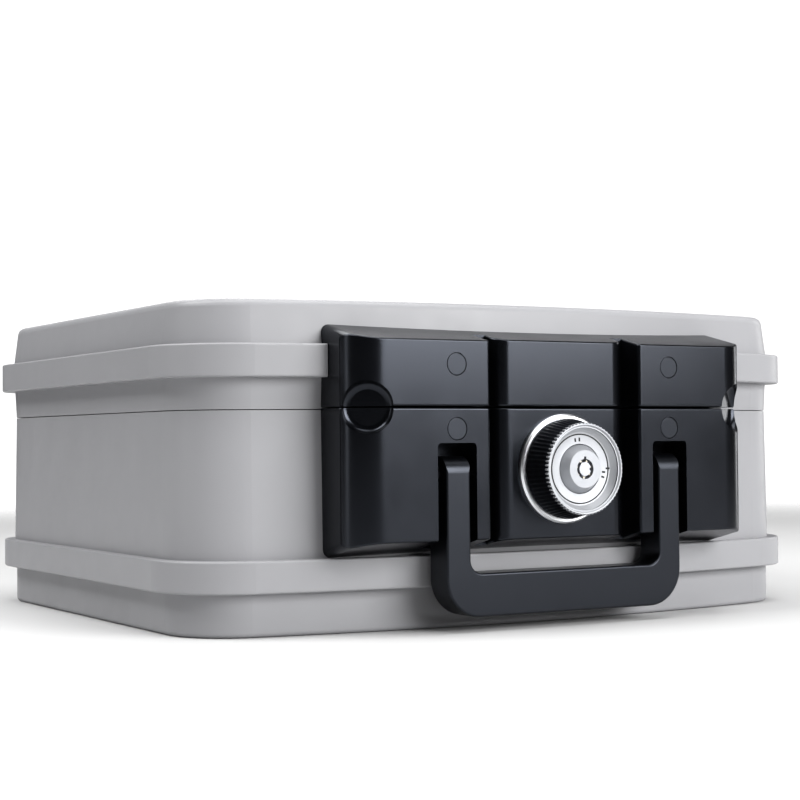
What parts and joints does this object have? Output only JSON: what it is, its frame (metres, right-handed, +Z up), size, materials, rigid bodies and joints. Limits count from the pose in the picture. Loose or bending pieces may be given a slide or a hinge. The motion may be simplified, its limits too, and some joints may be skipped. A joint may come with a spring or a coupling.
{
  "type": "fireproof document box",
  "caption": "Moulded fire-resistant document chest with a hinged lid, a two-part front cover, a swinging carry handle and a key-locked turn knob that works a hook latch.",
  "frame": {"origin": "middle of the chest's footprint, on the flat underside that it rests on (the front cover, handle and knob stand out in front of it and the hinges behind)", "axes": "+Z up, out of the rest face; +X to the right across the front; -Y to the front, where the knob and handle are"},
  "size_m": [0.3752, 0.3509, 0.157],
  "materials": {
    "shell_grey": "satin, fine moulded surface",
    "insulation": "matt, lightweight cast fill",
    "liner_grey": "satin moulded",
    "cover_black": "satin moulded",
    "cap_black": "satin moulded",
    "handle_black": "satin moulded",
    "seal_rubber": "matt",
    "grip_black": "fluted, satin",
    "mark_black": "printed",
    "chrome_trim": "polished",
    "dish_silver": "satin",
    "lock_silver": "fine turned",
    "plug_silver": "turned",
    "pin_brass": "polished",
    "bush_brass": "turned",
    "steel_bright": "zinc plated",
    "steel_black": "black oxide",
    "housing_zinc": "die cast",
    "hinge_black": "black powder coat"
  },
  "bodies": {
    "base": {"base_shell": "shell_grey", "base_insulation": "insulation", "base_tub": "liner_grey", "lower_cover": "cover_black", "lower_cover_caps": "cap_black", "lower_cover_screws": "steel_bright", "handle_pivot_pins": "steel_black", "lock_housing": "housing_zinc", "lock_housing_screws": "steel_bright", "spindle_bush": "bush_brass", "knob_bezel": "chrome_trim", "base_hinge_leaves": "hinge_black", "base_hinge_screws": "steel_bright", "hinge_pins": "steel_bright"},
    "lid": {"lid_shell": "shell_grey", "lid_insulation": "insulation", "lid_liner": "liner_grey", "lid_gasket": "seal_rubber", "upper_cover": "cover_black", "upper_cover_caps": "cap_black", "upper_cover_screws": "steel_bright", "strike_plate": "steel_bright", "strike_screws": "steel_bright", "lid_hinge_leaves": "hinge_black", "lid_hinge_screws": "steel_bright"},
    "handle": {"carry_handle": "handle_black"},
    "knob": {"knob_grip": "grip_black", "knob_dish": "dish_silver", "dial_marks": "mark_black", "lock_core": "lock_silver", "knob_spindle": "steel_bright", "spindle_circlip": "steel_bright", "latch_cam": "steel_bright", "cam_nut": "steel_bright"},
    "key_plug": {"key_plug": "plug_silver", "key_plug_pins": "pin_brass"}
  },
  "joints": [
    {"name": "lid_hinge", "type": "hinge", "parent": "base", "child": "lid", "pos_m": [0, 0.158, 0.1052], "axis": [-1, 0, 0], "range_deg": [0, 100]},
    {"name": "handle_swing", "type": "hinge", "parent": "base", "child": "handle", "pos_m": [0, -0.165, 0.0748], "axis": [-1, 0, 0], "range_deg": [0, 110]},
    {"name": "knob_turn", "type": "hinge", "parent": "base", "child": "knob", "pos_m": [0, 0, 0.076], "axis": [0, 1, 0], "range_deg": [0, 90]},
    {"name": "key_turn", "type": "hinge", "parent": "knob", "child": "key_plug", "pos_m": [0, 0, 0.076], "axis": [0, 1, 0], "range_deg": [0, 90]}
  ]
}
